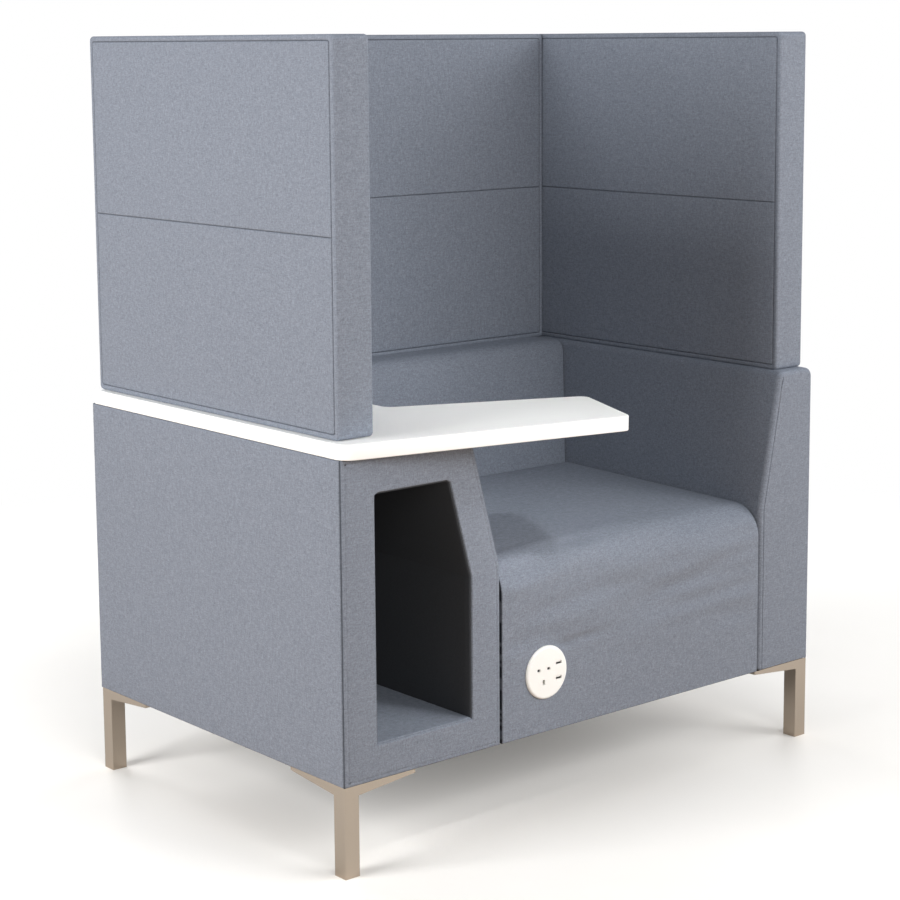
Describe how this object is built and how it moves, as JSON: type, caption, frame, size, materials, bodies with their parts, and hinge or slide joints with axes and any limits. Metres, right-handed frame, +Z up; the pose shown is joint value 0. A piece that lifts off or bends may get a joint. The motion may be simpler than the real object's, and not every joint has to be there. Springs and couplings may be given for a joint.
{
  "type": "acoustic office pod",
  "caption": "High-backed upholstered work booth with a storage arm, padded screens, a white worktop over the seat, a power module in the seat front and polished corner legs.",
  "frame": {"origin": "middle of the plan's bounding box, on the floor", "axes": "+Z up, -Y out of the open front, +X to the right as seen from the front"},
  "size_m": [1.1, 0.8396, 1.316],
  "materials": {
    "fabric": "woven wool, matte",
    "foam": "open-cell foam, matte",
    "timber": "bare birch plywood",
    "laminate": "white laminate, satin",
    "edge_band": "white edge band, satin",
    "chrome": "polished",
    "zinc_steel": "zinc plated",
    "brass": "stamped, bare",
    "white_plastic": "moulded, satin",
    "black_plastic": "moulded, matte",
    "circuit_board": "coated glass fibre board",
    "black_cloth": "non-woven cloth, matte"
  },
  "bodies": {
    "pod": {"back_cover": "fabric", "back_foam": "foam", "back_frame": "timber", "back_left_leg": "chrome", "back_left_leg_screw_1": "zinc_steel", "back_left_leg_screw_2": "zinc_steel", "back_right_leg": "chrome", "back_right_leg_screw_1": "zinc_steel", "back_right_leg_screw_2": "zinc_steel", "back_screen_bolt_1": "zinc_steel", "back_screen_bolt_2": "zinc_steel", "back_screen_core": "timber", "back_screen_cover": "fabric", "back_screen_foam": "foam", "cable_inlet": "black_plastic", "charger_board": "circuit_board", "charger_face": "white_plastic", "charger_ports": "zinc_steel", "clamp_ring": "black_plastic", "dust_cover": "black_cloth", "earth_contact": "brass", "front_left_leg": "chrome", "front_left_leg_screw_1": "zinc_steel", "front_left_leg_screw_2": "zinc_steel", "front_right_leg": "chrome", "front_right_leg_screw_1": "zinc_steel", "front_right_leg_screw_2": "zinc_steel", "left_screen_bolt_1": "zinc_steel", "left_screen_bolt_2": "zinc_steel", "left_screen_core": "timber", "left_screen_cover": "fabric", "left_screen_foam": "foam", "line_contact": "brass", "module_body": "white_plastic", "neutral_contact": "brass", "niche_lining": "fabric", "rear_cap": "black_plastic", "right_arm_cover": "fabric", "right_arm_frame": "timber", "right_arm_wadding": "foam", "right_screen_bolt_1": "zinc_steel", "right_screen_bolt_2": "zinc_steel", "right_screen_core": "timber", "right_screen_cover": "fabric", "right_screen_foam": "foam", "seat_cover": "fabric", "seat_foam": "foam", "seat_frame": "timber", "seat_webbing": "black_cloth", "shutter_spring": "zinc_steel", "socket_base": "white_plastic", "socket_face": "white_plastic", "storage_carcass": "timber", "storage_cover": "fabric", "storage_wadding": "foam", "worktop_board": "laminate", "worktop_edging": "edge_band", "worktop_screw_1": "zinc_steel", "worktop_screw_2": "zinc_steel"},
    "shutter": {"shutter": "white_plastic"}
  },
  "joints": [
    {"name": "shutter_slide", "type": "slide", "parent": "pod", "child": "shutter", "axis": [0, 0, 1], "range_m": [0, 0.006], "stiffness_N_per_m": 80, "springref_m": -0.004, "deforming": ["shutter_spring"]}
  ]
}
